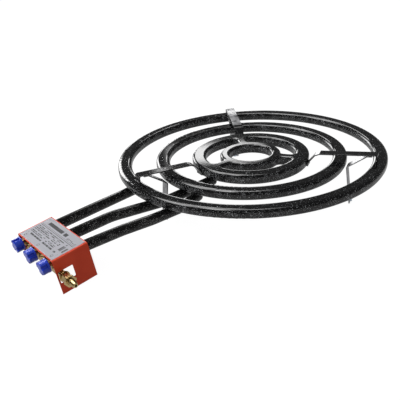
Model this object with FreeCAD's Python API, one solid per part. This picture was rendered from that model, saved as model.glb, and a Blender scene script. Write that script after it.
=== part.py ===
import FreeCAD, Part
import math
import os

from FreeCAD import Vector

# Triple ring gas burner for large pans: three burner rings, each fed by its own tube,
# a tilted control head with three taps, three pan supports and three strip legs.
# Millimetres. +X runs from the control head to the rings, +Z is up, the floor is z = 0.

# Burner rings
outer_d = 700.0
middle_line_r = 232.0
tube_ring_w = 36.0
tube_ring_h = 24.0
middle_drop = 4.0
sheet_t = 1.2
press_r = 9.0
seam_gap = 0.3
seam_below_mid = 3.0
seam_lap = 4.0

# Inner burner pressing
inner_d = 308.0
inner_rim_w = 36.0
inner_h = 26.0
inner_drop = 6.0
inner_press_r = 7.0
core_d = 160.0
core_hole_d = 110.0
web_w = 24.0
web_corner_r = 11.0
web_angles = [60.0, 180.0, 300.0]

# Feed tubes
tube_d = 25.5
tube_wall = 1.2
tube_pitch = 63.5
tube_straight = 20.0
tube_bend_r = 120.0
tube_past_neck = 9.7
middle_past_neck = 17.0
neck_d = 17.0
neck_show = 1.5
outer_feed_y = 105.0
inner_feed_y = 5.0
middle_feed_y = -45.0
inner_bends = [(-425.0, 15.5), (-285.0, -9.0)]
middle_bends = [(-445.0, -60.0), (-365.0, -65.5), (-275.0, -62.0)]
air_slot_in = 8.0
air_slot_l = 16.0
air_slot_h = 6.0

# Hood of the control head and its plate
head_reach = 625.0
head_drop = 23.0
head_tilt = 7.7
cover_l = 84.0
cover_t = 1.5
cover_bend_r = 3.0
flap_gap = 6.25
window_l = 35.0
window_h = 28.0
window_gap = 0.5
window_over = 2.5
window_corner_r = 2.0
plate_t = 0.5
plate_margin = 2.5

# Taps and spindles
tap_front = 1.0
tap_back = 29.0
tap_d = 18.0
bonnet_d = 14.0
bonnet_out = 3.0
outlet_af = 15.0
outlet_l = 6.0
gas_way_d = 6.0
tail_d = 13.0
tail_l = 4.45
tail_spigot_d = 9.8
tail_spigot_l = 6.0
spindle_d = 8.0
spindle_in = 16.0
spindle_flat = 1.5

# Injectors
jet_af = 12.0
jet_shoulder_l = 6.0
jet_spigot_d = 9.0
jet_spigot_l = 6.0
jet_nose_d = 4.4
jet_nose_l = 5.0
jet_hole_d = 1.6

# Manifold and gas inlet
manifold_x = 13.0
manifold_d = 17.0
manifold_bore = 11.0
manifold_over = 10.0
boss_d = 16.0
boss_rise = 4.5
plug_af = 16.0
plug_l = 5.0
plug_in = 8.0
inlet_out = 6.0
rim_d = 24.0
rim_l = 3.5
coupling_af = 19.0
coupling_l = 19.0
collar_af = 24.0
collar_l = 6.0
nose_d = 16.0
nose_l = 8.0
nose_taper_l = 9.0
nose_waist_d = 11.2
barb_d = 13.2
barb_end_d = 9.2
barb_l = 6.0
barb_in = 2.0
tail_in = 8.0
inlet_bore = 5.0

# Knobs
knob_d = 32.0
knob_drum_d = 31.0
knob_l = 18.0
knob_skirt_t = 3.5
knob_gap = 4.0
knob_face_t = 5.0
knob_pocket_w = 8.0
knob_pocket_depth = 5.5
knob_pocket_r = 2.5
knob_edge_r = 1.5
knob_relief_d = 12.0
knob_relief_t = 2.0
knob_turns = [80.0, 27.0, 27.0]

# Pan supports
strip_w = 25.0
strip_t = 3.0
strip_bend_r = 5.0
support_top = 30.5
support_fall = 8.0
foot_in_of_line = 6.0
slope_run = 31.0
brow_run = 20.0
brow_drop = 4.5
inner_foot_top = 6.0
inner_foot_end = 14.0
support_angles = [58.1, 170.8, 299.4]

# Legs
ring_height = 107.0
leg_top_in = 30.0
leg_lap = 12.0
knee_gap = 2.5
leg_knee_drop = 8.0
leg_splay = 10.5
bolt_d = 6.0
bolt_height = 7.0
hex_af = 10.0
bolt_head_h = 4.0
nut_h = 5.0
bolt_past_nut = 2.0

# Clearances
run_fit = 0.05
seat_fit = 0.1
rest_gap = 0.3

# Derived places
outer_line_r = outer_d / 2 - tube_ring_w / 2
inner_line_r = inner_d / 2 - inner_rim_w / 2
ring_bottom = -tube_ring_h / 2
inner_bottom = -inner_h / 2 - inner_drop
tube_end_drop = neck_show + tube_d / 2 - inner_bottom
neck_bore = neck_d - 2 * tube_wall
tap_down = cover_t + tube_d / 2 + rest_gap
jet_start = tap_back + outlet_l
jet_face = jet_start + jet_shoulder_l
boss_down = tap_down + tap_d / 2 + tail_l
manifold_down = boss_down + boss_rise + manifold_d / 2
manifold_end = tube_pitch + manifold_over
cover_w = 2 * (tube_pitch + tube_d / 2 + flap_gap + cover_t)
inlet_y = -cover_w / 2 - inlet_out
tilt = math.radians(head_tilt)
knob_front = knob_gap + knob_l
knob_reach = knob_front * math.cos(tilt) + (knob_d / 2 - tap_down) * math.sin(tilt)
ring_x = (head_reach + knob_reach - outer_d / 2) / 2
cover_h = (ring_height - head_drop) / math.cos(tilt)
tap_ys = {"outer": tube_pitch, "inner": 0.0, "middle": -tube_pitch}

AXIS_X = Vector(1, 0, 0)
AXIS_Y = Vector(0, 1, 0)
AXIS_Z = Vector(0, 0, 1)
RING_CENTRE = Vector(ring_x, 0, ring_height)


def line(a, b):
    return Part.LineSegment(a, b).toShape()


def arc_at(corner, a, b, radius):
    """Tangent arc that rounds the corner between the runs to a and b: (edge, start, end)."""
    to_a = (a - corner).normalize()
    to_b = (b - corner).normalize()
    half = to_a.getAngle(to_b) / 2
    setback = radius / math.tan(half)
    start = corner + to_a * setback
    end = corner + to_b * setback
    centre = corner + (to_a + to_b).normalize() * (radius / math.sin(half))
    middle = centre + (corner - centre).normalize() * radius
    return Part.Arc(start, middle, end).toShape(), start, end


def rounded_path(points, radius):
    """Wire of straight runs joined by tangent arcs."""
    edges = []
    here = points[0]
    for before, corner, after in zip(points, points[1:], points[2:]):
        arc, start, end = arc_at(corner, before, after, radius)
        edges += [line(here, start), arc]
        here = end
    edges.append(line(here, points[-1]))
    return Part.Wire(edges)


def pipe(points, bend_r, radius):
    """Solid round bar of the given radius along a rounded path."""
    path = rounded_path(points, bend_r)
    circle = Part.makeCircle(radius, points[0], points[1] - points[0])
    return path.makePipeShell([Part.Wire([circle])], True, False)


def strip(points, bend_r):
    """Flat strip bent along a path in the XZ plane, its width along Y."""
    path = rounded_path(points, bend_r)
    along = (points[1] - points[0]).normalize()
    across = along.cross(AXIS_Y).normalize() * (strip_t / 2)
    side = AXIS_Y * (strip_w / 2)
    start = points[0]
    corners = [start + across + side, start - across + side,
               start - across - side, start + across - side]
    section = Part.makePolygon(corners + [corners[0]])
    return path.makePipeShell([section], True, False)


def hex_bar(af, length, base, axis):
    """Hexagonal bar across flats af, from base along axis."""
    corner_r = af / math.sqrt(3)
    points = []
    for k in range(7):
        angle = math.radians(60 * k)
        points.append(Vector(corner_r * math.cos(angle), corner_r * math.sin(angle), 0))
    bar = Part.Face(Part.makePolygon(points)).extrude(AXIS_Z * length)
    bar.Placement = FreeCAD.Placement(base, FreeCAD.Rotation(AXIS_Z, axis))
    return bar


def rod(diameter, length, base, axis):
    return Part.makeCylinder(diameter / 2, length, base, axis)


def channel(line_r, half_w, z_lip, z_crown, corner_r):
    """Ring pressed from sheet: a U section with round shoulders, turned about Z."""
    up = 1.0 if z_crown > z_lip else -1.0

    def run(inset):
        w = half_w - inset
        crown = z_crown - up * inset
        r = corner_r - inset
        shoulder = crown - up * r
        mid = r * (1 - math.sqrt(0.5))
        points = [(-w, z_lip), (-w, shoulder), (-w + mid, crown - up * mid), (-w + r, crown),
                  (w - r, crown), (w - mid, crown - up * mid), (w, shoulder), (w, z_lip)]
        p = [Vector(line_r + x, 0, z) for x, z in points]
        return p, [line(p[0], p[1]), Part.Arc(p[1], p[2], p[3]).toShape(), line(p[3], p[4]),
                   Part.Arc(p[4], p[5], p[6]).toShape(), line(p[6], p[7])]

    skin, skin_edges = run(0.0)
    core, core_edges = run(sheet_t)
    lips = [line(skin[0], core[0]), line(skin[7], core[7])]
    wire = Part.Wire(Part.__sortEdges__(skin_edges + core_edges + lips))
    return Part.Face(wire).revolve(Vector(0, 0, 0), AXIS_Z, 360)


def ring_top(line_r, drop):
    """Upper shell of a burner ring; its skirts lap outside the lower shell."""
    crown = tube_ring_h / 2 - drop
    return channel(line_r, tube_ring_w / 2, -seam_below_mid - drop, crown, press_r)


def ring_base(line_r, drop, feed):
    """Lower shell of a burner ring, holed where its feed tube's neck meets it."""
    half_w = tube_ring_w / 2 - sheet_t - seam_gap
    lip = -seam_below_mid + seam_lap - drop
    shell = channel(line_r, half_w, lip, ring_bottom - drop, press_r - sheet_t)
    hole = rod(neck_bore, tube_ring_h, Vector(feed[0], feed[1], -tube_ring_h - drop), AXIS_Z)
    return shell.cut(hole)


def burner_blank(inset, z_low, z_high):
    """Outline of the inner burner, drawn in by inset all round, as a flat solid."""
    height = z_high - z_low
    base = Vector(0, 0, z_low)
    blank = Part.makeCylinder(inner_d / 2 - inset, height, base)
    blank = blank.cut(Part.makeCylinder(core_hole_d / 2 + inset, height, base))
    kidney_out = inner_d / 2 - inner_rim_w + inset
    kidney_in = core_d / 2 - inset
    gap = Part.makeCylinder(kidney_out, height, base).cut(Part.makeCylinder(kidney_in, height, base))
    web = web_w - 2 * inset
    for angle in web_angles:
        bar = Part.makeBox(inner_d, web, height, Vector(0, -web / 2, z_low))
        bar.rotate(Vector(0, 0, 0), AXIS_Z, angle)
        gap = gap.cut(bar)
    for kidney in gap.Solids:
        uprights = [e for e in kidney.Edges if is_upright(e)]
        blank = blank.cut(kidney.makeFillet(web_corner_r + inset, uprights))
    return blank


def is_upright(edge):
    start, end = edge.Vertexes[0].Point, edge.Vertexes[-1].Point
    return abs(start.x - end.x) < 1e-6 and abs(start.y - end.y) < 1e-6 and len(edge.Vertexes) == 2


def edges_at(shape, z):
    """Edges that lie flat at height z."""
    return [e for e in shape.Edges
            if abs(e.BoundBox.ZMin - z) < 1e-4 and abs(e.BoundBox.ZMax - z) < 1e-4]


def pressed_burner(inset, z_lip, z_crown, corner_r):
    """Inner burner shell: rounded over at the crown, open at the lip, sheet_t thick."""
    low, high = min(z_lip, z_crown), max(z_lip, z_crown)
    up = 1.0 if z_crown > z_lip else -1.0
    skin = burner_blank(inset, low, high)
    skin = skin.makeFillet(corner_r, edges_at(skin, z_crown))
    inner_crown = z_crown - up * sheet_t
    overrun = z_lip - up
    low, high = min(overrun, inner_crown), max(overrun, inner_crown)
    core = burner_blank(inset + sheet_t, low, high)
    core = core.makeFillet(corner_r - sheet_t, edges_at(core, inner_crown))
    return skin.cut(core)


def inner_burner_top():
    """Upper shell of the inner burner; its skirts lap outside the lower shell."""
    return pressed_burner(0.0, -seam_below_mid - inner_drop, inner_h / 2 - inner_drop, inner_press_r)


def inner_burner_base(feed):
    """Lower shell of the inner burner, holed where its feed tube's neck meets it."""
    lip = -seam_below_mid + seam_lap - inner_drop
    shell = pressed_burner(sheet_t + seam_gap, lip, inner_bottom, inner_press_r - sheet_t)
    hole = rod(neck_bore, inner_h, Vector(feed[0], feed[1], inner_bottom - inner_h / 2), AXIS_Z)
    return shell.cut(hole)


def head_point(x, y, down):
    """Point of the tilted control head, measured along, across and down from its plate."""
    return Vector(-head_reach + x * math.cos(tilt) + down * math.sin(tilt), y,
                  -head_drop + x * math.sin(tilt) - down * math.cos(tilt))


def head_placed(shape):
    """Turn a piece drawn square to the plate into the head's tilted place."""
    shape.rotate(Vector(0, 0, 0), AXIS_Y, -head_tilt)
    shape.translate(Vector(-head_reach, 0, -head_drop))
    return shape


def feed_tube(name, feed, bends, past_neck, neck_top):
    """Feed tube: tilted mouth under the head, run under the rings, closed end, upright neck."""
    y = tap_ys[name]
    mouth = head_point(jet_face, y, tap_down)
    bend = head_point(jet_face + tube_straight, y, tap_down)
    end = Vector(feed[0], feed[1], -tube_end_drop)
    fall = (end.z - bend.z) / (end.x - bend.x)
    route = [bend] + [Vector(at_x, at_y, bend.z + fall * (at_x - bend.x)) for at_x, at_y in bends]
    onward = (end - route[-1]).normalize()
    into = (bend - mouth).normalize()
    points = [mouth] + route + [end + onward * past_neck]
    bore_points = [mouth + into * tube_wall] + route + [end + onward * (past_neck - tube_wall)]
    neck_l = neck_top - end.z
    tube = pipe(points, tube_bend_r, tube_d / 2).fuse(rod(neck_d, neck_l, end, AXIS_Z))
    tube = tube.cut(pipe(bore_points, tube_bend_r, tube_d / 2 - tube_wall))
    tube = tube.cut(rod(neck_bore, neck_l + tube_wall, end, AXIS_Z))
    tube = tube.cut(rod(jet_spigot_d + 2 * seat_fit, 4 * tube_wall, mouth - into * tube_wall, into))
    air_slot = Part.makeBox(air_slot_l, tube_d * 2, air_slot_h,
                            Vector(jet_face + air_slot_in, y - tube_d, -tap_down - air_slot_h / 2))
    return tube.cut(head_placed(air_slot))


def control_cover():
    """Bent sheet hood: flat top, two side flaps, a window in one flap for the gas inlet."""
    outside = Part.makeBox(cover_l, cover_w, cover_h, Vector(0, -cover_w / 2, -cover_h))
    top_edges = [e for e in edges_at(outside, 0.0) if abs(e.BoundBox.XLength - cover_l) < 1e-4]
    outside = outside.makeFillet(cover_bend_r, top_edges)
    inside_w = cover_w - 2 * cover_t
    inside = Part.makeBox(cover_l, inside_w, cover_h, Vector(0, -inside_w / 2, -cover_h - cover_t))
    roof_edges = [e for e in edges_at(inside, -cover_t) if abs(e.BoundBox.XLength - cover_l) < 1e-4]
    inside = inside.makeFillet(cover_bend_r - cover_t, roof_edges)
    window_front = manifold_x - manifold_d / 2 - window_gap
    window_top = manifold_down - manifold_d / 2 - window_over
    window = Part.makeBox(window_l, 4 * cover_t, window_h,
                          Vector(window_front, -cover_w / 2 - cover_t, -window_top - window_h))
    through = [e for e in window.Edges if abs(e.BoundBox.YLength - 4 * cover_t) < 1e-4]
    window = window.makeFillet(window_corner_r, through)
    return head_placed(outside.cut(inside).cut(window))


def data_plate():
    """Thin metal plate on the hood's flat top."""
    length = cover_l - 2 * plate_margin
    width = cover_w - 2 * (plate_margin + cover_bend_r)
    plate = Part.makeBox(length, width, plate_t, Vector(plate_margin, -width / 2, 0))
    return head_placed(plate)


def gas_manifold():
    """Brass pipe across the head with an upright boss under each tap."""
    start = Vector(manifold_x, inlet_y, -manifold_down)
    length = manifold_end - inlet_y
    body = rod(manifold_d, length, start, AXIS_Y)
    hollow = rod(manifold_bore, length, start, AXIS_Y)
    for y in tap_ys.values():
        axis_foot = Vector(manifold_x, y, -manifold_down)
        body = body.fuse(rod(boss_d, manifold_down - boss_down, axis_foot, AXIS_Z))
        hollow = hollow.fuse(rod(tail_spigot_d + 2 * seat_fit, manifold_d, axis_foot, AXIS_Z))
    return head_placed(body.cut(hollow))


def manifold_plug():
    """Hexagon plug that closes the far end of the manifold."""
    base = Vector(manifold_x, manifold_end, -manifold_down)
    plug = hex_bar(plug_af, plug_l, base, AXIS_Y)
    plug = plug.fuse(rod(manifold_bore - 2 * seat_fit, plug_in, base - AXIS_Y * plug_in, AXIS_Y))
    return head_placed(plug)


def tap_body(y):
    """Brass tap: round body, bonnet for the spindle, hexagon outlet, tail into the manifold."""
    centre = Vector(0, y, -tap_down)
    bonnet_front = centre + AXIS_X * (tap_front - bonnet_out)
    body = rod(tap_d, tap_back - tap_front, centre + AXIS_X * tap_front, AXIS_X)
    body = body.fuse(rod(bonnet_d, tap_d / 2, bonnet_front, AXIS_X))
    body = body.fuse(hex_bar(outlet_af, outlet_l, centre + AXIS_X * tap_back, AXIS_X))
    seat = Vector(manifold_x, y, -boss_down)
    body = body.fuse(rod(tail_d, boss_down - tap_down, seat, AXIS_Z))
    body = body.fuse(rod(tail_spigot_d, tail_spigot_l, seat - AXIS_Z * tail_spigot_l, AXIS_Z))
    bore = rod(spindle_d + 2 * run_fit, bonnet_out + spindle_in + 1.0, bonnet_front, AXIS_X)
    outlet = rod(gas_way_d, 2 * outlet_l, centre + AXIS_X * (tap_back - outlet_l), AXIS_X)
    return head_placed(body.cut(bore).cut(outlet))


def injector(y):
    """Brass jet: hexagon shoulder against the tube's mouth, spigot and drilled nose inside it."""
    start = Vector(jet_start, y, -tap_down)
    face = Vector(jet_face, y, -tap_down)
    nose = face + AXIS_X * jet_spigot_l
    jet = hex_bar(jet_af, jet_shoulder_l, start, AXIS_X)
    jet = jet.fuse(rod(jet_spigot_d, jet_spigot_l, face, AXIS_X))
    jet = jet.fuse(Part.makeCone(jet_spigot_d / 2, jet_nose_d / 2, jet_nose_l, nose, AXIS_X))
    return head_placed(jet.cut(rod(jet_hole_d, jet_shoulder_l + jet_spigot_l + jet_nose_l, start, AXIS_X)))


def spindle_blank(y, growth):
    """Tap spindle with a flat on its outer end; growth widens it to cut the knob's socket."""
    front = Vector(knob_face_t - knob_front, y, -tap_down)
    length = knob_front - knob_face_t + tap_front + spindle_in
    shaft = rod(spindle_d + 2 * growth, length, front, AXIS_X)
    flat_up = spindle_d / 2 - spindle_flat + growth
    flat = Part.makeBox(knob_l - knob_face_t, spindle_d * 2, spindle_d,
                        front + Vector(0, -spindle_d, flat_up))
    return shaft.cut(flat)


def knob(y, turn):
    """Lobed plastic knob: round skirt behind, drum with four pockets between its lobes."""
    face = Vector(-knob_front, y, -tap_down)
    drum_l = knob_l - knob_skirt_t
    drum = rod(knob_drum_d, drum_l, face, AXIS_X)
    floor_z = knob_d / 2 - knob_pocket_depth
    for k in range(4):
        pocket = Part.makeBox(drum_l, knob_pocket_w, knob_d, face + Vector(0, -knob_pocket_w / 2, floor_z))
        floor = [e for e in edges_at(pocket, face.z + floor_z) if e.BoundBox.XLength > drum_l / 2]
        pocket = pocket.makeFillet(knob_pocket_r, floor)
        pocket.rotate(face, AXIS_X, 90.0 * k)
        drum = drum.cut(pocket)
    drum = drum.makeFillet(knob_edge_r, [e for e in drum.Edges if e.BoundBox.XMax < face.x + 1e-4])
    body = drum.fuse(rod(knob_d, knob_skirt_t, face + AXIS_X * drum_l, AXIS_X))
    body.rotate(face, AXIS_X, -turn)
    relief = rod(knob_relief_d, knob_relief_t, face + AXIS_X * (knob_l - knob_relief_t), AXIS_X)
    return head_placed(body.cut(relief).cut(spindle_blank(y, run_fit)))


def inlet_nut():
    """Gas inlet coupling: rim against the manifold's end, then a hexagon body."""
    start = Vector(manifold_x, inlet_y, -manifold_down)
    out = AXIS_Y * -1
    nut = rod(rim_d, rim_l, start, out)
    nut = nut.fuse(hex_bar(coupling_af, coupling_l, start + out * rim_l, out))
    return head_placed(nut.cut(rod(manifold_bore, rim_l + coupling_l, start, out)))


def hose_tail():
    """Hose tail: hexagon collar, then a stepped nose with a gas bore."""
    start = Vector(manifold_x, inlet_y - rim_l - coupling_l, -manifold_down)
    out = AXIS_Y * -1
    nose = start + out * collar_l
    taper = nose + out * nose_l
    barb = taper + out * (nose_taper_l - barb_in)
    tail = hex_bar(collar_af, collar_l, start, out)
    tail = tail.fuse(rod(nose_d, nose_l, nose, out))
    tail = tail.fuse(Part.makeCone(nose_d / 2, nose_waist_d / 2, nose_taper_l, taper, out))
    tail = tail.fuse(Part.makeCone(barb_d / 2, barb_end_d / 2, barb_l, barb, out))
    tail = tail.fuse(rod(manifold_bore - 2 * seat_fit, tail_in, start - out * tail_in, out))
    bore_l = tail_in + collar_l + nose_l + nose_taper_l - barb_in + barb_l
    return head_placed(tail.cut(rod(inlet_bore, bore_l, start - out * tail_in, out)))


def run_z(r):
    """Height of a pan support's middle plane at radius r of its long run, which falls inwards."""
    outer_r = outer_line_r - foot_in_of_line
    inner_r = inner_d / 2 + slope_run
    return support_top - strip_t / 2 - support_fall * (outer_r - r) / (outer_r - inner_r)


def pan_support():
    """Bent strip that carries the pan: foot on the outer ring, foot on the inner burner."""
    foot_r = outer_line_r - foot_in_of_line
    run_end_r = inner_d / 2 + slope_run
    wall_r = inner_d / 2 + rest_gap + strip_t / 2
    points = [Vector(foot_r, 0, tube_ring_h / 2), Vector(foot_r, 0, run_z(foot_r)),
              Vector(run_end_r, 0, run_z(run_end_r)),
              Vector(inner_d / 2 + brow_run, 0, run_z(run_end_r) - brow_drop),
              Vector(wall_r, 0, -inner_foot_top), Vector(wall_r, 0, -inner_foot_end)]
    return strip(points, strip_bend_r)


def leg_points():
    """Centreline of a leg: lap under the support, brace inwards, splayed run to the floor."""
    top_r = outer_line_r - leg_top_in
    end_r = top_r + leg_lap
    knee_r = middle_line_r + tube_ring_w / 2 + knee_gap + strip_t / 2
    below = strip_t / math.cos(math.atan((run_z(end_r) - run_z(top_r)) / leg_lap))
    return [Vector(end_r, 0, run_z(end_r) - below), Vector(top_r, 0, run_z(top_r) - below),
            Vector(knee_r, 0, -leg_knee_drop), Vector(knee_r + leg_splay, 0, -ring_height)]


def bolt_place():
    """Centre of the leg's bolt hole and the outward direction of its axis."""
    knee, foot = leg_points()[2:]
    down = (foot - knee).normalize()
    centre = foot - down * bolt_height
    outward = AXIS_Y.cross(down) * -1
    return centre, outward


def support_leg():
    """Strip leg with a bolt hole at its foot, cut level with the floor."""
    points = leg_points()
    down = (points[3] - points[2]).normalize()
    leg = strip(points[:3] + [points[3] + down * 2 * strip_t], strip_bend_r)
    below = Part.makeBox(outer_d, strip_w * 2, ring_height, Vector(0, -strip_w, -2 * ring_height))
    centre, outward = bolt_place()
    hole = rod(bolt_d + 2 * seat_fit, 4 * strip_t, centre - outward * 2 * strip_t, outward)
    return leg.cut(below).cut(hole)


def leg_bolt():
    """Hexagon bolt through the foot of a leg, its head outside."""
    centre, outward = bolt_place()
    face = centre + outward * (strip_t / 2)
    shank_l = strip_t + nut_h + bolt_past_nut
    head = hex_bar(hex_af, bolt_head_h, face, outward)
    return head.fuse(rod(bolt_d, shank_l, face - outward * shank_l, outward))


def leg_nut():
    """Hexagon nut on the inner side of a leg."""
    centre, outward = bolt_place()
    face = centre - outward * (strip_t / 2 + nut_h)
    nut = hex_bar(hex_af, nut_h, face, outward)
    return nut.cut(rod(bolt_d + 2 * run_fit, nut_h, face, outward))


def feed_places():
    """Where each feed tube's neck meets its ring, from the ring centre."""
    places = {}
    for name, radius, y in (("outer", outer_line_r, outer_feed_y),
                            ("inner", inner_line_r, inner_feed_y),
                            ("middle", middle_line_r, middle_feed_y)):
        places[name] = (-math.sqrt(radius * radius - y * y), y)
    return places


def build_parts():
    """All solids of the burner about the ring centre, by node name."""
    feeds = feed_places()
    parts = {
        "outer_ring_top": ring_top(outer_line_r, 0.0),
        "outer_ring_base": ring_base(outer_line_r, 0.0, feeds["outer"]),
        "middle_ring_top": ring_top(middle_line_r, middle_drop),
        "middle_ring_base": ring_base(middle_line_r, middle_drop, feeds["middle"]),
        "inner_burner_top": inner_burner_top(),
        "inner_burner_base": inner_burner_base(feeds["inner"]),
        "control_cover": control_cover(),
        "data_plate": data_plate(),
        "gas_manifold": gas_manifold(),
        "manifold_plug": manifold_plug(),
        "inlet_nut": inlet_nut(),
        "hose_tail": hose_tail(),
    }
    parts["outer_feed_tube"] = feed_tube("outer", feeds["outer"], [], tube_past_neck, ring_bottom)
    parts["middle_feed_tube"] = feed_tube("middle", feeds["middle"], middle_bends,
                                          middle_past_neck, ring_bottom - middle_drop)
    parts["inner_feed_tube"] = feed_tube("inner", feeds["inner"], inner_bends,
                                         tube_past_neck, inner_bottom)
    for (name, y), turn in zip(tap_ys.items(), knob_turns):
        parts[name + "_tap"] = tap_body(y)
        parts[name + "_injector"] = injector(y)
        parts[name + "_spindle"] = head_placed(spindle_blank(y, 0.0))
        parts[name + "_knob"] = knob(y, turn)
    makers = {"pan_support": pan_support, "support_leg": support_leg,
              "leg_bolt": leg_bolt, "leg_nut": leg_nut}
    for place, angle in zip(("back", "left", "right"), support_angles):
        for kind, make in makers.items():
            shape = make()
            shape.rotate(Vector(0, 0, 0), AXIS_Z, angle)
            parts[place + "_" + kind] = shape
    return parts


def main():
    os.makedirs("parts", exist_ok=True)
    for name, shape in build_parts().items():
        shape.translate(RING_CENTRE)
        print(name, "solids", len(shape.Solids), "valid", shape.isValid(), "volume", round(shape.Volume))
        shape.Solids[0].exportStep("parts/" + name + ".step")


main()
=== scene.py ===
import math

import bmesh
import bpy
import numpy as np
from mathutils import Matrix, Vector


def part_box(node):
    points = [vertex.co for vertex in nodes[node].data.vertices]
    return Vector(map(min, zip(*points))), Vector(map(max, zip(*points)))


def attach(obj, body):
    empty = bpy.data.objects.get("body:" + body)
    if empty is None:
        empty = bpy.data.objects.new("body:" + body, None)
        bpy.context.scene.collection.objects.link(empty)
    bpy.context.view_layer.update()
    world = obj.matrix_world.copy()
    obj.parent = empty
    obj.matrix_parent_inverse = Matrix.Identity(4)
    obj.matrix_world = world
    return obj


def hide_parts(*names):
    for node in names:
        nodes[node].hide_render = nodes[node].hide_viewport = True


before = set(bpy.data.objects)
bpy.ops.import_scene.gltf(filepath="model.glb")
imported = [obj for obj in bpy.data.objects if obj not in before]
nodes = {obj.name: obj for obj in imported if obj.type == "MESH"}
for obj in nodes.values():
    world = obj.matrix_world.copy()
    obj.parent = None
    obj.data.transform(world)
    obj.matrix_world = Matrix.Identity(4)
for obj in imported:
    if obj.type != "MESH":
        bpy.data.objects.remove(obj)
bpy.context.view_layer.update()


# Viewpoint. The burner is seen over its control head from the side of the gas inlet, from above
# and with a normal lens. Everything is placed from the middle of the outer ring.
ring_low, ring_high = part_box("outer_ring_top")
ring_half_h = 0.012
ring_mid = Vector(((ring_low.x + ring_high.x) / 2, (ring_low.y + ring_high.y) / 2,
                   ring_high.z - ring_half_h))
camera_distance = 1.6046
camera_bearing, camera_height = math.radians(-42.55), math.radians(21.76)
look_bearing, look_down = math.radians(-37.08), math.radians(25.83)
camera_roll = math.radians(4.09)


def toward(bearing, elevation):
    """Unit vector to a point at that bearing and elevation; bearing 0 is the -Y side."""
    return Vector((math.sin(bearing) * math.cos(elevation),
                   -math.cos(bearing) * math.cos(elevation), math.sin(elevation)))


camera_data = bpy.data.cameras.new("camera")
camera_data.lens, camera_data.sensor_width = 54.0, 36.0
camera = bpy.data.objects.new("camera", camera_data)
bpy.context.scene.collection.objects.link(camera)
bpy.context.scene.camera = camera
look = (-toward(look_bearing, look_down)).to_track_quat("-Z", "Y").to_matrix()
camera.matrix_world = Matrix.LocRotScale(
    ring_mid + camera_distance * toward(camera_bearing, camera_height),
    look @ Matrix.Rotation(-camera_roll, 3, "Z"), None)
bpy.context.scene.view_settings.view_transform = "Standard"


# Studio. A white floor and surround under a plain fill, with one soft lamp on the camera's left.
# Only mirrors see the rest: three cards and a screen behind the burner, a box high on the left,
# an arc of light nearly overhead on the far side, and a dim ceiling.
class Socket:
    """Output socket of a shader node; arithmetic on it adds Math nodes to its tree."""

    def __init__(self, tree, socket):
        self.tree, self.socket = tree, socket

    def math(self, operation, *others):
        return node(self.tree, "ShaderNodeMath", {"operation": operation},
                    dict(enumerate((self, *others))))

    def __add__(self, other):
        return self.math("ADD", other)

    def __sub__(self, other):
        return self.math("SUBTRACT", other)

    def __rsub__(self, other):
        return node(self.tree, "ShaderNodeMath", {"operation": "SUBTRACT"}, {0: other, 1: self})

    def __mul__(self, other):
        return self.math("MULTIPLY", other)

    def __truediv__(self, other):
        return self.math("DIVIDE", other)

    def __lt__(self, other):
        return self.math("LESS_THAN", other)

    __radd__, __rmul__ = __add__, __mul__

    def sibling(self, name):
        """Another output of the same node."""
        return Socket(self.tree, self.socket.node.outputs[name])

    def ramp(self, low, high, at_low=0.0, at_high=1.0):
        """Smooth change from at_low to at_high as the value goes from low to high."""
        return node(self.tree, "ShaderNodeMapRange", {"interpolation_type": "SMOOTHSTEP"},
                    {"Value": self, "From Min": low, "From Max": high,
                     "To Min": at_low, "To Max": at_high})

    def within(self, low, high, soft):
        """1 between low and high, 0 outside, with edges of that softness."""
        return self.ramp(low - soft, low + soft) * self.ramp(high - soft, high + soft, 1.0, 0.0)

    def mix(self, at_zero, at_one):
        """Colour that goes from at_zero to at_one as the value goes from 0 to 1."""
        return node(self.tree, "ShaderNodeMix", {"data_type": "RGBA"},
                    {"Factor": self, 6: at_zero, 7: at_one}, out=2)

    def noise(self, scale, detail=2.0):
        """Cloudy noise of that scale at this position."""
        return node(self.tree, "ShaderNodeTexNoise", {},
                    {"Vector": self, "Scale": scale, "Detail": detail})


def node(tree, kind, settings=(), inputs=(), out=0):
    """Adds a node, sets it up, fills or links its inputs and returns one of its outputs, or
    nothing for a node without outputs."""
    made = tree.nodes.new(kind)
    for name, value in dict(settings).items():
        setattr(made, name, value)
    for name, value in dict(inputs).items():
        if isinstance(value, Socket):
            tree.links.new(value.socket, made.inputs[name])
        else:
            made.inputs[name].default_value = value
    return Socket(tree, made.outputs[out]) if made.outputs else None


def new_material(name):
    """Empty node material and its tree."""
    material = bpy.data.materials.new(name)
    material.use_nodes = True
    material.node_tree.nodes.clear()
    return material, material.node_tree


def surface(tree, shader, output="ShaderNodeOutputMaterial"):
    """Links a shader to its output node."""
    node(tree, output, {}, {"Surface": shader})


def seen_rays(tree, first, *others):
    """1 on rays of these kinds, 0 on the rest."""
    seen = path = node(tree, "ShaderNodeLightPath", out=f"Is {first} Ray")
    for kind in others:
        seen = seen.math("MAXIMUM", path.sibling(f"Is {kind} Ray"))
    return seen


white, degrees = (1.0, 1.0, 1.0, 1.0), 180 / math.pi
world = bpy.data.worlds.new("studio")
bpy.context.scene.world = world
world.use_nodes = True
tree = world.node_tree
tree.nodes.clear()
ray = node(tree, "ShaderNodeTexCoord", out="Generated")
ray_x, ray_y, ray_z = (node(tree, "ShaderNodeSeparateXYZ", {}, {0: ray}, out=k) for k in range(3))
azimuth = ray_y.math("ARCTAN2", ray_x) * degrees
elevation = ray_z.math("ARCSINE") * degrees
ceiling_glow, overhead_glow, fill = 0.10, 10.0, 0.42
mirrored = (ceiling_glow
            + overhead_glow * (elevation.within(67.5, 78.0, 4.0) * azimuth.ramp(-5.0, 45.0)))
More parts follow.
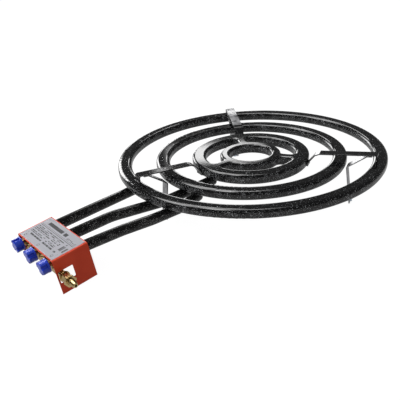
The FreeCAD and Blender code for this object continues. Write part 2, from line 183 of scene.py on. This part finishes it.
# Glow, azimuth from, to and softness, elevation from, to and softness, in degrees.
for glow, az_low, az_high, az_soft, el_low, el_high, el_soft in (
        (5.0, 47.0, 66.0, 2.0, 1.0, 15.5, 1.5),      # wide card, low
        (5.0, 46.5, 55.5, 1.0, 20.6, 22.3, 0.4),     # thin card over it
        (7.0, 49.0, 58.0, 1.5, 28.2, 42.0, 0.8),     # tall card over both
        (7.0, 72.0, 95.0, 4.0, 0.0, 22.0, 3.0),      # screen
        (7.0, 62.0, 145.0, 6.0, 47.0, 64.0, 5.0)):   # box high on the left
    mirrored = mirrored + glow * (azimuth.within(az_low, az_high, az_soft)
                                  * elevation.within(el_low, el_high, el_soft))
glossy = seen_rays(tree, "Glossy")
open_view = seen_rays(tree, "Camera", "Transmission")
strength = glossy * mirrored + (1 - glossy) * (fill + (1 - fill) * open_view)
surface(tree, node(tree, "ShaderNodeBackground", {}, {"Color": white, "Strength": strength}),
        "ShaderNodeOutputWorld")

floor_half, floor_grey, floor_seen, floor_mirrored = 6.0, 0.22, 0.94, 0.50
floor_mesh = bpy.data.meshes.new("floor")
floor_mesh.from_pydata([(x * floor_half, y * floor_half, 0)
                        for x, y in ((-1, -1), (1, -1), (1, 1), (-1, 1))], [], [(0, 1, 2, 3)])
floor = bpy.data.objects.new("floor", floor_mesh)
bpy.context.scene.collection.objects.link(floor)
floor_white, tree = new_material("floor_white")
glow = (floor_seen * seen_rays(tree, "Camera", "Transmission")
        + floor_mirrored * seen_rays(tree, "Glossy"))
lit = node(tree, "ShaderNodeEmission", {}, {"Color": white, "Strength": glow})
matt = node(tree, "ShaderNodeBsdfDiffuse", {}, {"Color": (floor_grey, floor_grey, floor_grey, 1.0)})
surface(tree, node(tree, "ShaderNodeAddShader", {}, {0: lit, 1: matt}))
floor_mesh.materials.append(floor_white)

lamp_distance, lamp_width, lamp_power = 2.6, 1.6, 25.0
to_lamp = toward(math.radians(250), math.radians(32))
lamp_data = bpy.data.lights.new("key", "AREA")
lamp_data.shape, lamp_data.size, lamp_data.energy = "SQUARE", lamp_width, lamp_power
lamp = bpy.data.objects.new("key", lamp_data)
bpy.context.scene.collection.objects.link(lamp)
lamp.matrix_world = Matrix.LocRotScale(ring_mid + lamp_distance * to_lamp,
                                       (-to_lamp).to_track_quat("-Z", "Y"), None)
lamp.visible_camera = lamp.visible_glossy = False


# Burner rings. Each ring is two pressed steel shells, the upper lapped over the lower and welded,
# then coated in black vitreous enamel with pale flecks and fired to a gloss with orange peel.
fleck_layers = ((290.0, 0.34, 0.4), (560.0, 0.38, 1.7), (1000.0, 0.42, 1.9))
thinner_on_top, edge_round = 0.26, 0.0006


def enamel(name, base, fleck, share, rough, peel, top_peel=0.12, gloss=0.5, painted_sheen=0.0):
    """Black enamel with rounded edges. In each layer of cells (cells per metre, fleck radius in
    cells, part of the flecks) a cell holds a round fleck where its random number is below the
    local share. Flecks and orange peel weaken on top, where the glaze lay level; painted_sheen
    paints the fleck colour in patches over faces that look straight up, a painted reflection of
    the light on level tops."""
    material, tree = new_material(name)
    place = node(tree, "ShaderNodeTexCoord", out="Object")
    upward = node(tree, "ShaderNodeSeparateXYZ", {}, {0: place.sibling("Normal")}, out=2)
    on_top = upward.ramp(0.35, 0.96)
    crowd = place.noise(55.0) - thinner_on_top * on_top
    speck = 0.0
    for cells, radius, part in fleck_layers:
        from_middle = node(tree, "ShaderNodeTexVoronoi", {}, {"Vector": place, "Scale": cells},
                           out="Distance")
        drawn = {"Color": from_middle.sibling("Color")}
        chance, size = (node(tree, "ShaderNodeSeparateColor", {}, drawn, out=k) for k in (0, 1))
        chosen = chance < crowd.ramp(0.35, 0.65, 0.2 * share * part, 1.7 * share * part)
        speck = speck + chosen * (from_middle < radius * (0.55 + 0.6 * size))
    speck = speck.math("MINIMUM", 1.0)
    pale = place.noise(900.0).ramp(0.3, 0.7).mix(tuple(0.35 * c for c in fleck), fleck)
    # Painted reflection: painted_sheen turns faces that look straight up patchily pale with the
    # fleck colour.
    ground = (painted_sheen * upward.ramp(0.93, 0.99) * crowd.ramp(-0.1, 0.4)).mix(base, fleck)
    waves, grain = place.noise(240.0, 1.5), place.noise(700.0, 1.0)
    height = (1 - on_top) * (waves + 1.7 * grain) + top_peel * (waves + 0.5 * grain)
    eased_edge = node(tree, "ShaderNodeBevel", {"samples": 4}, {"Radius": edge_round})
    bump = node(tree, "ShaderNodeBump", {}, {"Strength": 1.0, "Distance": peel, "Height": height,
                                             "Normal": eased_edge})
    roughness = (rough * (1 - 0.6 * on_top) + (1 - on_top) * 0.12 * grain.ramp(0.3, 0.7)
                 + 0.2 * speck)
    surface(tree, node(tree, "ShaderNodeBsdfPrincipled", {}, {
        "Base Color": speck.mix(ground, pale), "Roughness": roughness,
        "Specular IOR Level": gloss, "Normal": bump}))
    return material


def dress(material, *names):
    """Gives CAD nodes a material."""
    for name in names:
        nodes[name].data.materials.clear()
        nodes[name].data.materials.append(material)


ring_enamel = enamel("ring_enamel", (0.006, 0.006, 0.0065, 1.0), (0.80, 0.82, 0.85, 1.0),
                     share=0.115, rough=0.05, peel=0.00009)
dress(ring_enamel, "outer_ring_top", "outer_ring_base", "middle_ring_top", "middle_ring_base",
      "inner_burner_top", "inner_burner_base")


# Flame ports. Small holes are drilled in both upper shoulders of every ring at an even pitch,
# and the enamel draws back into a rounded lip round each of them. The holes are not cut: a flat
# near-black floor inside each lip is painted shade for the hole's depth.
port_r, port_lip, port_pitch, port_lift = 0.0009, 0.00022, 0.0125, 0.00002
port_sides, port_tilt = 10, math.radians(48)
port_profile = np.array([(1.55, 0.0), (1.25, 0.8), (1.0, 0.75), (0.88, 0.2), (0.0, 0.2)])
merge_distance = 1e-6


def grid_mesh(name, grids, sharp, closed=True):
    """Mesh of equal grids, array (copies, rows, columns, 3): every cell of a grid is a quad, the
    last column joins the first, points that coincide are merged, and closed forms get their
    faces turned outward. Edges over the sharp angle, in degrees, stay sharp."""
    copies, rows, columns, _ = grids.shape
    here = np.arange(copies * rows * columns).reshape(copies, rows, columns)
    following = np.roll(here, -1, axis=2)
    quads = np.stack([here[:, :-1], following[:, :-1], following[:, 1:], here[:, 1:]], axis=-1)
    mesh = bpy.data.meshes.new(name)
    mesh.from_pydata(grids.reshape(-1, 3), [], quads.reshape(-1, 4))
    work = bmesh.new()
    work.from_mesh(mesh)
    bmesh.ops.remove_doubles(work, verts=work.verts, dist=merge_distance)
    if closed:
        bmesh.ops.recalc_face_normals(work, faces=work.faces)
    work.to_mesh(mesh)
    work.free()
    mesh.shade_smooth()
    mesh.set_sharp_from_angle(angle=math.radians(sharp))
    return mesh


def piece(name, mesh, body, slot, *materials):
    """Object of a mesh that rides on a body and takes these materials; the slot argument is not
    used.
    """
    made = bpy.data.objects.new(name, mesh)
    bpy.context.scene.collection.objects.link(made)
    mesh.materials.clear()
    for material in materials:
        mesh.materials.append(material)
    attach(made, body)
    return made


def circle(count):
    """Angles of that many points round a circle."""
    return np.arange(count) * (2 * np.pi / count)


def ports(name, crown, corner_r, rows):
    """Lipped holes on rounded shoulders. A row is (edge radius, side, start, end in degrees); a
    hole is a turned profile (foot, lip crest, painted-shade floor, centre) about the outward
    normal of the shoulder, whose crown stands that high over the ring's middle. The floor is a
    flat near-black disc inside the lip, painted shade for the depth of a hole that is not cut."""
    turn = circle(port_sides)
    reach, stand = port_profile[:, 0] * port_r, port_profile[:, 1] * port_lip
    drop = corner_r * (1 - math.cos(port_tilt))
    grids = []
    for edge_r, side, start, end in rows:
        radius = edge_r - side * corner_r * (1 - math.sin(port_tilt))
        count = round(math.radians(end - start) * radius / port_pitch)
        at = np.radians(start + (np.arange(count) + 0.5) * (end - start) / count)
        out = np.stack([np.cos(at), np.sin(at), 0 * at], axis=-1)
        along = np.stack([-np.sin(at), np.cos(at), 0 * at], axis=-1)
        normal = side * math.sin(port_tilt) * out + np.array([0.0, 0.0, math.cos(port_tilt)])
        across = np.cross(normal, along)
        middle = np.array(ring_mid) + radius * out + np.array([0.0, 0.0, crown - drop + port_lift])
        swing = (np.cos(turn)[:, None] * along[:, None, None, :]
                 + np.sin(turn)[:, None] * across[:, None, None, :])
        grids.append(middle[:, None, None, :] + reach[:, None, None] * swing
                     + stand[:, None, None] * normal[:, None, None, :])
    mesh = grid_mesh(name, np.concatenate(grids), sharp=40.0, closed=False)
    piece(name, mesh, "burner", "black_enamel", ring_enamel, port_painted_shade)
    # Triangles round each hole's centre take the second material, the near-black painted shade of
    # the hole.
    corners = np.zeros(len(mesh.polygons), dtype=np.int32)
    mesh.polygons.foreach_get("loop_total", corners)
    mesh.polygons.foreach_set("material_index", (corners == 3).astype(np.int32))


# Near-black matt floor of every port: painted shade for the inside of a hole that is not cut; the
# noise only varies its roughness.
port_painted_shade, tree = new_material("port_painted_shade")
port_shade_grain = node(tree, "ShaderNodeTexCoord", out="Object").noise(1400.0)
surface(tree, node(tree, "ShaderNodeBsdfPrincipled", {}, {
    "Base Color": (0.002, 0.002, 0.002, 1.0), "Roughness": 0.8 + 0.2 * port_shade_grain,
    "Specular IOR Level": 0.0}))
webs, web_pitch, web_gap_rim, web_gap_core = (60.0, 180.0, 300.0), 120.0, 14.0, 20.0
ports("outer_ring_ports", 0.012, 0.009, [(0.350, 1, 0, 360), (0.314, -1, 0, 360)])
ports("middle_ring_ports", 0.008, 0.009, [(0.250, 1, 0, 360), (0.214, -1, 0, 360)])
ports("inner_burner_ports", 0.007, 0.007, [(0.154, 1, 0, 360), (0.055, -1, 0, 360)]
      + [(0.118, -1, web + web_gap_rim, web + web_pitch - web_gap_rim) for web in webs]
      + [(0.080, 1, web + web_gap_core, web + web_pitch - web_gap_core) for web in webs])


# Feed tubes. Three bent steel tubes carry gas and air from the taps to the rings; each is closed
# at its end, welded to an upright neck under its ring and enamelled like the rings.
tube_enamel = enamel("tube_enamel", (0.009, 0.009, 0.009, 1.0), (0.60, 0.60, 0.60, 1.0),
                     share=0.15, rough=0.20, peel=0.00014, top_peel=0.5, gloss=0.28)
dress(tube_enamel, "outer_feed_tube", "middle_feed_tube", "inner_feed_tube")
bead_sides, bead_ripple, bead_wave = 8, 0.10, 0.0022
aslant = np.array([0.31, 0.27, 0.91])


def beads(name, paths, radius, closed, material):
    """Weld beads, array of paths (copies, points, 3), none of which runs aslant. A circle square
    to the path is carried along it; its radius ripples with the length, as a sine, and shrinks
    at open ends as a quarter circle does."""
    step = np.linalg.norm(np.diff(paths, axis=1), axis=-1)
    length = np.concatenate([np.zeros((len(paths), 1)), np.cumsum(step, axis=1)], axis=1)
    if closed:
        ahead = np.roll(paths, -1, axis=1) - np.roll(paths, 1, axis=1)
    else:
        ahead = np.gradient(paths, axis=1)
    ahead /= np.linalg.norm(ahead, axis=-1, keepdims=True)
    side = np.cross(ahead, aslant)
    side /= np.linalg.norm(side, axis=-1, keepdims=True)
    up = np.cross(side, ahead)
    thick = radius * (1 + bead_ripple * np.sin(length * (2 * np.pi / bead_wave)))
    if not closed:
        from_end = np.minimum(length, length[:, -1:] - length)
        thick = thick * np.sqrt(np.clip(1 - (1 - np.minimum(from_end / radius, 1)) ** 2, 0, 1))
    turn = circle(bead_sides)
    swing = np.cos(turn)[:, None] * side[:, :, None, :] + np.sin(turn)[:, None] * up[:, :, None, :]
    grids = paths[:, :, None, :] + thick[:, :, None, None] * swing
    if closed:
        grids = np.concatenate([grids, grids[:, :1]], axis=1)
    piece(name, grid_mesh(name, grids, sharp=80.0), "burner", "black_enamel", material)


neck_r, tube_r, tube_drop, neck_bead_r, bead_drop = 0.0085, 0.01275, 0.0015, 0.0009, 0.0002
round_neck = circle(48)
neck_rim = np.stack([np.cos(round_neck), np.sin(round_neck), 0 * round_neck], axis=-1) * neck_r
tube_top = np.sqrt(tube_r ** 2 - (neck_r * np.sin(round_neck)) ** 2) - tube_r - tube_drop
neck_beads = []
for line_r, feed_y, under_ring in ((0.332, 0.105, -0.012), (0.232, -0.045, -0.016),
                                   (0.136, 0.005, -0.019)):
    neck = np.array(ring_mid) + np.array([-math.sqrt(line_r ** 2 - feed_y ** 2), feed_y, 0.0])
    neck_beads.append(neck + neck_rim + np.array([0.0, 0.0, under_ring - bead_drop]))
    neck_beads.append(neck + neck_rim
                      + np.stack([0 * tube_top, 0 * tube_top, under_ring + tube_top], axis=-1))
beads("neck_welds", np.stack(neck_beads), neck_bead_r, True, tube_enamel)


# Pan supports and legs. Three bent strips stand on the outer ring and run in to the inner burner
# to carry the pan; a strip leg is welded under each, and a bolt and nut wait in its foot.
flat_angle, sharp_angle = math.radians(0.5), math.radians(40)


def eased(name, width, material, slot):
    """Copy of a CAD node whose loose triangles are merged and whose sharp edges are rounded."""
    mesh = bpy.data.meshes.new(name + "_eased")
    work = bmesh.new()
    work.from_mesh(nodes[name].data)
    bmesh.ops.remove_doubles(work, verts=work.verts, dist=merge_distance)
    bmesh.ops.dissolve_limit(work, angle_limit=flat_angle, verts=work.verts, edges=work.edges)
    work.to_mesh(mesh)
    work.free()
    if "custom_normal" in mesh.attributes:
        mesh.attributes.remove(mesh.attributes["custom_normal"])
    mesh.shade_smooth()
    mesh.set_sharp_from_angle(angle=sharp_angle)
    made = piece(name + "_eased", mesh, "burner", slot, material)
    rounding = made.modifiers.new("rounding", "BEVEL")
    rounding.width, rounding.segments = width, 2
    rounding.limit_method, rounding.angle_limit = "ANGLE", sharp_angle
    rounding.harden_normals = True
    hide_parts(name)


strip_enamel = enamel("strip_enamel", (0.012, 0.012, 0.013, 1.0), (0.5, 0.5, 0.52, 1.0),
                      share=0.10, rough=0.10, peel=0.00009, top_peel=0.6)
# Enamel for the back strip: its level top is painted patchily pale, a painted reflection of the
# light on it; the other strips have none.
sheen_painted_enamel = enamel("sheen_painted_enamel", (0.014, 0.014, 0.015, 1.0), (0.6, 0.6, 0.62, 1.0),
                     share=0.10, rough=0.16, peel=0.00008, top_peel=0.5, painted_sheen=1.0)
leg_zinc, tree = new_material("leg_zinc")
place = node(tree, "ShaderNodeTexCoord", out="Object")
spangle = node(tree, "ShaderNodeSeparateColor", {}, {"Color": node(
    tree, "ShaderNodeTexVoronoi", {}, {"Vector": place, "Scale": 260.0}, out="Color")})
surface(tree, node(tree, "ShaderNodeBsdfPrincipled", {}, {
    "Base Color": place.noise(90.0, 4.0).ramp(0.3, 0.7).mix((0.26, 0.26, 0.265, 1.0),
                                                            (0.42, 0.42, 0.43, 1.0)),
    "Metallic": 1.0, "Roughness": 0.30 + 0.14 * spangle}))

support_at = {"back": 58.1, "left": 170.8, "right": 299.4}
strip_half_w, leg_faces_r, foot_weld_z, foot_weld_r = 0.0125, (0.3245, 0.3275), 0.0121, 0.0017
wall_r, wall_weld_top, wall_weld_end, wall_weld_r = 0.1539, -0.0062, -0.0137, 0.0013
foot_welds, wall_welds = [], []
for side, bearing in support_at.items():
    # Only the back strip takes the enamel with the painted reflection on its top.
    eased(side + "_pan_support", 0.0005, sheen_painted_enamel if side == "back" else strip_enamel,
          "strip_enamel")
    eased(side + "_support_leg", 0.0004, leg_zinc, "strip_steel")
    away = np.array([math.cos(math.radians(bearing)), math.sin(math.radians(bearing)), 0.0])
    aside = np.array([-away[1], away[0], 0.0])
    across = np.linspace(-strip_half_w, strip_half_w, 40)[:, None] * aside
    down = np.linspace(wall_weld_top, wall_weld_end, 24)[:, None] * np.array([0.0, 0.0, 1.0])
    foot_welds += [np.array(ring_mid) + face_r * away + across + np.array([0.0, 0.0, foot_weld_z])
                   for face_r in leg_faces_r]
    wall_welds += [np.array(ring_mid) + wall_r * away + edge * aside + down
                   for edge in (-strip_half_w, strip_half_w)]
beads("support_foot_welds", np.stack(foot_welds), foot_weld_r, False, ring_enamel)
beads("support_wall_welds", np.stack(wall_welds), wall_weld_r, False, ring_enamel)

bolt_zinc, tree = new_material("bolt_zinc")
cloud = node(tree, "ShaderNodeTexCoord", out="Object").noise(300.0, 3.0)
surface(tree, node(tree, "ShaderNodeBsdfPrincipled", {}, {
    "Base Color": cloud.ramp(0.35, 0.65).mix((0.34, 0.45, 0.56, 1.0), (0.52, 0.60, 0.68, 1.0)),
    "Metallic": 1.0, "Roughness": 0.24 + 0.15 * cloud}))
bar_sides, corner_cut, chamfer_angle = 72, 0.97, math.radians(30)


def bar_piece(name, axis, corner, rows, material, slot):
    """Turned and hexagonal bar that stands for a CAD node, on the node's own axis. A row is
    (station from the node's start, turned radius, half across flats or 0 where round); round the
    axis the radius is the lesser of the turned one and half flats / cos(angle from the flat)."""
    axis, corner = np.array(axis), np.array(corner)
    third = np.cross(axis, corner)
    solid = nodes[name].data.vertices
    points = np.zeros(3 * len(solid), dtype=np.float32)
    solid.foreach_get("co", points)
    points = points.astype(np.float64).reshape(-1, 3)
    middle = sum(e * ((points @ e).min() + (points @ e).max()) / 2 for e in (corner, third))
    start = middle + axis * (points @ axis).min()
    turn = circle(bar_sides)
    station, turned, flats = np.array(rows).T
    to_flat = np.cos(turn % (np.pi / 3) - np.pi / 6)
    hexagon = np.where(flats[:, None] > 0, flats[:, None] / to_flat, np.inf)
    radius = np.minimum(turned[:, None], hexagon)
    swing = np.cos(turn)[:, None] * corner + np.sin(turn)[:, None] * third
    grid = start + station[:, None, None] * axis + radius[:, :, None] * swing
    made = piece(name + "_turned", grid_mesh(name + "_turned", grid[None], sharp=25.0),
                 "burner", slot, material)
    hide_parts(name)


def thread(start, end, outer, pitch, depth):
    """Rows of a threaded shank: the radius dips by depth once a pitch, as a cosine."""
    station = np.arange(start, end, pitch / 4)
    dip = depth * (0.5 - 0.5 * np.cos((station - start) * (2 * np.pi / pitch)))
    return [(s, outer - d, 0.0) for s, d in zip(station, dip)]


def chamfered(start, end, flats, front=True):
    """Rows of a hexagonal length whose corners are turned off at the chamfer angle, at its end
    and, with front, at its start."""
    full, turned = flats / math.cos(math.pi / 6), flats * corner_cut
    halfway, run = (turned + full) / 2, (full - turned) * math.tan(chamfer_angle)
    rows = [(start, full, flats)]
    if front:
        rows = [(start, turned, flats), (start + run / 2, halfway, flats),
                (start + run, full, flats)]
    return rows + [(end - run, full, flats), (end - run / 2, halfway, flats), (end, turned, flats)]


leg_lean = math.atan2(0.0105, 0.099)
bolt_rows = ([(0.0, 0.0, 0.0), (0.0, 0.0021, 0.0), (0.0006, 0.003, 0.0)]
             + thread(0.001, 0.0072, 0.003, 0.001, 0.00035)
             + [(0.0075, 0.003, 0.0), (0.010, 0.003, 0.0)]
             + chamfered(0.010, 0.014, 0.005, front=False)
             + [(0.0141, 0.0036, 0.0), (0.014, 0.0, 0.0)])
nut_rows = ([(0.0004, 0.00305, 0.0), (0.0, 0.0035, 0.0)] + chamfered(0.0, 0.005, 0.005)
            + [(0.005, 0.0035, 0.0), (0.0046, 0.00305, 0.0), (0.0004, 0.00305, 0.0)])
for side, bearing in support_at.items():
    turn_z = Matrix.Rotation(math.radians(bearing), 3, "Z")
    outward = turn_z @ Vector((math.cos(leg_lean), 0.0, math.sin(leg_lean)))
    upright = turn_z @ Vector((-math.sin(leg_lean), 0.0, math.cos(leg_lean)))
    bar_piece(side + "_leg_bolt", outward, upright, bolt_rows, bolt_zinc, "zinc_steel")
    bar_piece(side + "_leg_nut", outward, upright, nut_rows, bolt_zinc, "zinc_steel")


# Hood. One sheet of steel is bent down on both sides to cover the taps and stand on the floor,
# with a window for the gas inlet, and powder coated orange-red.
hood_red, tree = new_material("hood_red")
place = node(tree, "ShaderNodeTexCoord", out="Object")
powder, broad = place.noise(1100.0), place.noise(22.0, 3.0)
surface(tree, node(tree, "ShaderNodeBsdfPrincipled", {}, {
    "Base Color": broad.ramp(0.3, 0.7).mix((0.80, 0.072, 0.026, 1.0), (0.88, 0.086, 0.032, 1.0)),
    "Specular IOR Level": 0.3, "Roughness": 0.36 + 0.10 * powder,
    "Normal": node(tree, "ShaderNodeBump", {}, {
        "Strength": 1.0, "Distance": 0.00004, "Height": powder})}))
eased("control_cover", 0.0004, hood_red, "red_paint")


# Data plate. A thin printed metal label lies on the hood, with rules, rows of small print, a
# block of bars and a dial mark above each knob.
plate_print, tree = new_material("plate_print")
dress(plate_print, "data_plate")
plate_low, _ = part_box("data_plate")
head_tilt, ink_edge = math.radians(7.7), 0.12
word_cells, word_seed, word_share = 7, 4.0, 0.8
tap_ys, dial_up, dial_ring, tick, tick_half_w = (63.5, 0.0, -63.5), 8.0, (2.6, 3.4), (4.0, 6.4), 0.5
place = node(tree, "ShaderNodeTexCoord", out="Object")
from_corner = node(tree, "ShaderNodeVectorMath", {"operation": "SUBTRACT"},
                   {0: place, 1: (plate_low.x, 0.0, plate_low.z)})
up_plate = node(tree, "ShaderNodeVectorMath", {"operation": "DOT_PRODUCT"}, {
    0: from_corner, 1: (1000 * math.cos(head_tilt), 0.0, 1000 * math.sin(head_tilt))}, out="Value")
along = node(tree, "ShaderNodeSeparateXYZ", {}, {0: place}, out=1) * 1000.0


def patch(front, back, near, far):
    """Mask of a rectangle on the plate, in millimetres up from its front edge and along it."""
    return up_plate.within(front, back, ink_edge) * along.within(near, far, ink_edge)


def print_rows(front, pitch, height, cell, density, seed):
    """Rows of small print: along each row, cells are inked where a random number is low, and
    whole words of cells are left out where a second one is high."""
    line = (up_plate - front) / pitch
    row, in_row = line.math("FLOOR"), line.math("FRACT") < height / pitch
    spot = node(tree, "ShaderNodeCombineXYZ", {}, {
        0: (along / cell).math("FLOOR"), 1: row, 2: seed})
    word_spot = node(tree, "ShaderNodeCombineXYZ", {}, {
        0: (along / (cell * word_cells)).math("FLOOR"), 1: row, 2: seed + word_seed})
    letter, word = (node(tree, "ShaderNodeTexWhiteNoise", {"noise_dimensions": "3D"},
                         {"Vector": at}) for at in (spot, word_spot))
    return in_row * (letter < density) * (word < word_share)


rule_end = 74
ink = patch(51.6, 52.8, -rule_end, rule_end) + patch(55.2, 55.9, -rule_end, rule_end)
# Front, back, near and far end, then line pitch and height, cell, share inked and seed, in mm.
for front, back, near, far, pitch, height, cell, density, seed in (
        (16.0, 20.4, -70, 68, 4.4, 4.2, 1.2, 0.84, 1.0),     # heavy line
        (23.5, 31.0, -40, 70, 3.9, 2.2, 1.1, 0.74, 2.0),     # small print
        (33.5, 49.5, -44, 72, 4.1, 2.3, 1.3, 0.70, 3.0),     # small print
        (58.0, 63.0, -72, -34, 2.5, 1.4, 0.9, 0.78, 5.0),    # small print
        (60.5, 69.5, -26, 58, 9.2, 9.0, 6.4, 0.95, 6.0),     # heading block
        (44.8, 49.0, -75, -56, 4.4, 4.2, 2.8, 0.85, 7.0),    # short block
        (26.5, 42.0, -74, -54, 15.7, 15.5, 0.7, 0.74, 8.0)):  # bars
    ink = ink + patch(front, back, near, far) * print_rows(front, pitch, height, cell, density,
                                                           seed)
for tap_y in tap_ys:
    off = node(tree, "ShaderNodeCombineXYZ", {}, {0: up_plate - dial_up, 1: along - tap_y})
    away = node(tree, "ShaderNodeVectorMath", {"operation": "LENGTH"}, {0: off}, out="Value")
    ink = ink + away.within(*dial_ring, ink_edge) + patch(*tick, tap_y - tick_half_w,
                                                          tap_y + tick_half_w)
brushed = node(tree, "ShaderNodeMapping", {}, {
    "Vector": place, "Scale": (900.0, 40.0, 900.0)}).noise(1.0)
sheet = brushed.mix((0.47, 0.47, 0.52, 1.0), (0.59, 0.59, 0.64, 1.0))
surface(tree, node(tree, "ShaderNodeBsdfPrincipled", {}, {
    "Base Color": (0.96 * ink.math("MINIMUM", 1.0)).mix(sheet, (0.012, 0.012, 0.014, 1.0)),
    "Specular IOR Level": 0.22, "Roughness": 0.45 + 0.12 * brushed}))


# Gas fittings. The manifold, its plug, the taps, spindles and injectors are turned and drilled
# from brass bar, and the inlet is a coupling with a stepped hose tail.
brass, tree = new_material("turned_brass")
tarnish = node(tree, "ShaderNodeTexCoord", out="Object").noise(120.0, 4.0)
surface(tree, node(tree, "ShaderNodeBsdfPrincipled", {}, {
    "Base Color": tarnish.ramp(0.3, 0.75).mix((0.62, 0.46, 0.22, 1.0), (0.36, 0.26, 0.12, 1.0)),
    "Metallic": 1.0, "Roughness": 0.20 + 0.14 * tarnish,
    "Normal": node(tree, "ShaderNodeBevel", {"samples": 4}, {"Radius": 0.0005})}))
dress(brass, "gas_manifold", *(ring + part for ring in ("outer", "inner", "middle")
                               for part in ("_tap", "_injector", "_spindle")))
up_head = Vector((math.cos(head_tilt), 0.0, math.sin(head_tilt)))
to_inlet = Vector((0.0, -1.0, 0.0))
nut_collar = [(0.0, 0.0055, 0.0), (0.0, 0.0114, 0.0), (0.0006, 0.012, 0.0), (0.0029, 0.012, 0.0),
              (0.0035, 0.0114, 0.0), (0.0035, 0.0088, 0.0), (0.0050, 0.0088, 0.0)]
nut_mouth = [(0.0205, 0.0088, 0.0), (0.0222, 0.0088, 0.0), (0.0225, 0.0085, 0.0),
             (0.0225, 0.0055, 0.0), (0.0, 0.0055, 0.0)]
bar_piece("inlet_nut", to_inlet, up_head,
          nut_collar + chamfered(0.0050, 0.0205, 0.0095) + nut_mouth, brass, "brass")
tail_root = [(0.0, 0.0025, 0.0), (0.0, 0.0050, 0.0), (0.0004, 0.0054, 0.0), (0.008, 0.0054, 0.0)]
tail_neck = [(0.014, 0.0084, 0.0), (0.0146, 0.0080, 0.0), (0.0182, 0.0080, 0.0),
             (0.0186, 0.0076, 0.0), (0.0190, 0.0076, 0.0), (0.0194, 0.0080, 0.0),
             (0.0217, 0.0080, 0.0), (0.0222, 0.0077, 0.0)]
tail_barbs = [(0.0255, 0.0067, 0.0), (0.0290, 0.0057, 0.0), (0.0290, 0.0064, 0.0),
              (0.0293, 0.0066, 0.0), (0.0320, 0.0057, 0.0), (0.0345, 0.0048, 0.0),
              (0.0350, 0.0044, 0.0), (0.0350, 0.0029, 0.0), (0.0346, 0.0025, 0.0),
              (0.0, 0.0025, 0.0)]
bar_piece("hose_tail", to_inlet, up_head,
          tail_root + chamfered(0.008, 0.014, 0.012) + tail_neck + tail_barbs, brass, "brass")
plug_root = [(0.0, 0.0, 0.0), (0.0, 0.0050, 0.0), (0.0005, 0.0054, 0.0), (0.008, 0.0054, 0.0)]
bar_piece("manifold_plug", -to_inlet, up_head,
          plug_root + chamfered(0.008, 0.013, 0.008, front=False) + [(0.013, 0.0, 0.0)],
          brass, "brass")


# Knobs. Moulded blue plastic with four pockets between rounded lobes and a skirt behind, pushed
# on the flatted end of each spindle.
knob_blue, tree = new_material("knob_blue")
mould = node(tree, "ShaderNodeTexCoord", out="Object").noise(1300.0)
surface(tree, node(tree, "ShaderNodeBsdfPrincipled", {}, {
    "Base Color": (0.026, 0.070, 0.64, 1.0), "Roughness": 0.24 + 0.08 * mould,
    "Normal": node(tree, "ShaderNodeBevel", {"samples": 4}, {"Radius": 0.0006})}))
dress(knob_blue, "outer_knob", "inner_knob", "middle_knob")
